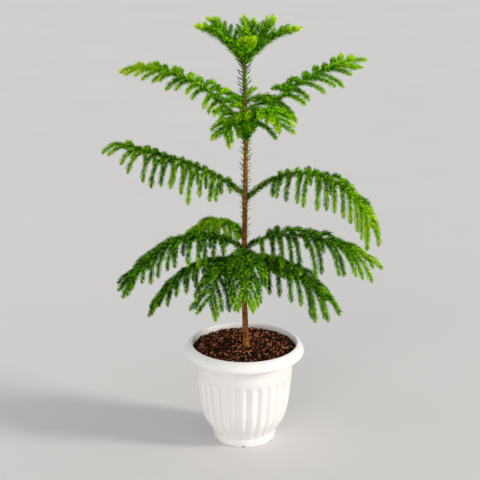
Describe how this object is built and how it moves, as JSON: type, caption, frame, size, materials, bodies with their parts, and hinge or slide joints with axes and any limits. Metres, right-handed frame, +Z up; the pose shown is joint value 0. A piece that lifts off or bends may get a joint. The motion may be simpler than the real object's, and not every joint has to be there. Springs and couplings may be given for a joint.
{
  "type": "potted araucaria tree",
  "caption": "Young potted araucaria: straight trunk with whorls of weeping boughs in needle sprays, in a fluted white plastic pot filled with soil.",
  "frame": {"origin": "centre of the pot's flat underside", "axes": "+Z up along the trunk, -Y towards the viewer of the front view, +X to that viewer's right"},
  "size_m": [0.4549, 0.2941, 0.7141],
  "materials": {
    "pot": "smooth moulded white plastic with a soft gloss",
    "soil": "dark red-brown crumbs, moist and matte",
    "bark": "thin brown bark with fine rings and leaf scars",
    "green_bark": "young bark, green brown",
    "needles": "mid to deep green needles, satin",
    "young_needles": "fresh yellow-green needles, satin"
  },
  "bodies": {
    "root": {"pot": "pot", "soil": "soil", "trunk": "bark", "bough_1_back": "bark", "bough_1_back_right": "bark", "bough_1_front_left": "bark", "bough_1_left": "bark", "bough_1_right": "bark", "bough_2_back_left": "bark", "bough_2_front": "bark", "bough_2_left": "bark", "bough_2_right": "bark", "bough_3_left": "bark", "bough_3_right": "bark", "bough_4_back": "green_bark", "bough_4_front_left": "green_bark", "bough_4_front_right": "green_bark", "bough_4_left": "green_bark", "bough_4_right": "green_bark", "bough_5_back": "green_bark", "bough_5_back_left": "green_bark", "bough_5_back_right": "green_bark", "bough_5_front": "green_bark", "bough_5_left": "green_bark", "bough_5_right": "green_bark", "foliage_1_back": "needles", "foliage_1_back_right": "needles", "foliage_1_front_left_inner": "needles", "foliage_1_front_left_outer": "needles", "foliage_1_left_inner": "needles", "foliage_1_left_outer": "needles", "foliage_1_right_inner": "needles", "foliage_1_right_outer": "needles", "foliage_2_back_left_inner": "needles", "foliage_2_back_left_outer": "needles", "foliage_2_front_inner": "needles", "foliage_2_front_outer": "needles", "foliage_2_left_inner": "needles", "foliage_2_left_outer": "needles", "foliage_2_right_inner": "needles", "foliage_2_right_outer": "needles", "foliage_3_left_inner": "needles", "foliage_3_left_outer": "needles", "foliage_3_right_inner": "needles", "foliage_3_right_outer": "needles", "foliage_4_back": "young_needles", "foliage_4_front_left": "young_needles", "foliage_4_front_right": "young_needles", "foliage_4_left_inner": "young_needles", "foliage_4_left_outer": "young_needles", "foliage_4_right_inner": "young_needles", "foliage_4_right_outer": "young_needles", "foliage_5_back": "young_needles", "foliage_5_back_left": "young_needles", "foliage_5_back_right": "young_needles", "foliage_5_front": "young_needles", "foliage_5_left": "young_needles", "foliage_5_right": "young_needles", "foliage_leader": "young_needles"}
  },
  "joints": []
}
